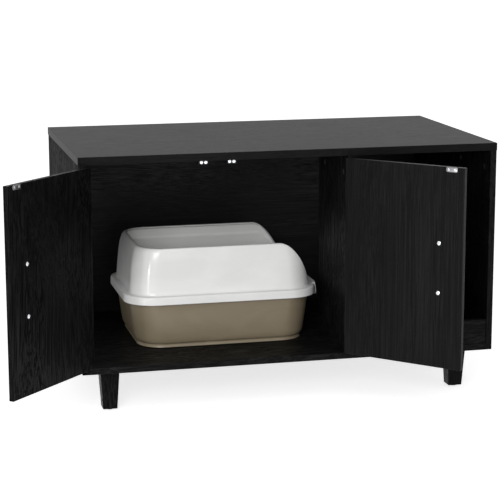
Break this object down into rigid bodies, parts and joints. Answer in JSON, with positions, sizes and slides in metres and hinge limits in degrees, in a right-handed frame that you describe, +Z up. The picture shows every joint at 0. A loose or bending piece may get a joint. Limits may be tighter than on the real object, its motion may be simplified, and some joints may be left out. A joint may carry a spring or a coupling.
{
  "type": "pet crate end table",
  "caption": "Low black cabinet table on tapered legs, with hinged doors over a bay that holds a litter tray with a lift-off guard, and an open pet entry bay beside it.",
  "frame": {"origin": "on the floor, under the centre of the top board's outline, which is also the centre of the rectangle of the four feet", "axes": "+Z up, +X to the right as seen from the front, and the doors are on the -Y side"},
  "size_m": [1.1885, 0.796, 0.609],
  "materials": {
    "black_board": "black laminated particle board with a pressed wood grain, low sheen",
    "black_hardboard": "black printed hardboard, satin",
    "black_leg_wood": "black painted wood, satin",
    "zinc_fitting": "bright zinc plate",
    "catch_body_steel": "bright zinc plate",
    "bright_magnet": "nickel plate, polished",
    "beech_dowel": "bare fluted beech",
    "glide_plastic": "dark moulded plastic",
    "black_pull_metal": "black powder coat, satin",
    "taupe_tray_plastic": "moulded polypropylene, soft gloss",
    "white_guard_plastic": "moulded polypropylene, gloss"
  },
  "bodies": {
    "cabinet": {"top_board": "black_board", "left_side_board": "black_board", "right_side_board": "black_board", "bottom_board": "black_board", "back_board": "black_hardboard", "divider_board": "black_board", "threshold_board": "black_board", "front_left_leg": "black_leg_wood", "front_right_leg": "black_leg_wood", "rear_left_leg": "black_leg_wood", "rear_right_leg": "black_leg_wood", "leg_bolts": "zinc_fitting", "leg_inserts": "zinc_fitting", "floor_glides": "glide_plastic", "top_cams": "zinc_fitting", "top_cam_bolts": "zinc_fitting", "bottom_cams": "zinc_fitting", "bottom_cam_bolts": "zinc_fitting", "dowels": "beech_dowel", "long_screws": "zinc_fitting", "back_nails": "zinc_fitting", "catch_bodies": "catch_body_steel", "catch_magnets": "bright_magnet", "catch_screws": "zinc_fitting", "left_hinge_frame_leaves": "zinc_fitting", "right_hinge_frame_leaves": "zinc_fitting", "hinge_pins": "zinc_fitting", "hinge_frame_screws": "zinc_fitting"},
    "left_door": {"left_door": "black_board", "left_hinge_door_leaves": "zinc_fitting", "left_hinge_door_screws": "zinc_fitting", "left_pull": "black_pull_metal", "left_pull_screws": "zinc_fitting", "left_strike": "zinc_fitting", "left_strike_screws": "zinc_fitting"},
    "right_door": {"right_door": "black_board", "right_hinge_door_leaves": "zinc_fitting", "right_hinge_door_screws": "zinc_fitting", "right_pull": "black_pull_metal", "right_pull_screws": "zinc_fitting", "right_strike": "zinc_fitting", "right_strike_screws": "zinc_fitting"},
    "litter_tray": {"litter_tray": "taupe_tray_plastic"},
    "spray_guard": {"spray_guard": "white_guard_plastic"}
  },
  "joints": [
    {"name": "left_door_swing", "type": "hinge", "parent": "cabinet", "child": "left_door", "pos_m": [-0.4825, -0.2828, 0.355], "axis": [0, 0, 1], "range_deg": [-40, 133]},
    {"name": "right_door_swing", "type": "hinge", "parent": "cabinet", "child": "right_door", "pos_m": [0.1305, -0.2828, 0.355], "axis": [0, 0, -1], "range_deg": [-40, 134]},
    {"name": "tray_slide", "type": "slide", "parent": "cabinet", "child": "litter_tray", "axis": [0, -1, 0], "range_m": [0, 0.1]},
    {"name": "guard_lift", "type": "slide", "parent": "litter_tray", "child": "spray_guard", "axis": [0, 0, 1], "range_m": [0, 0.15]}
  ]
}
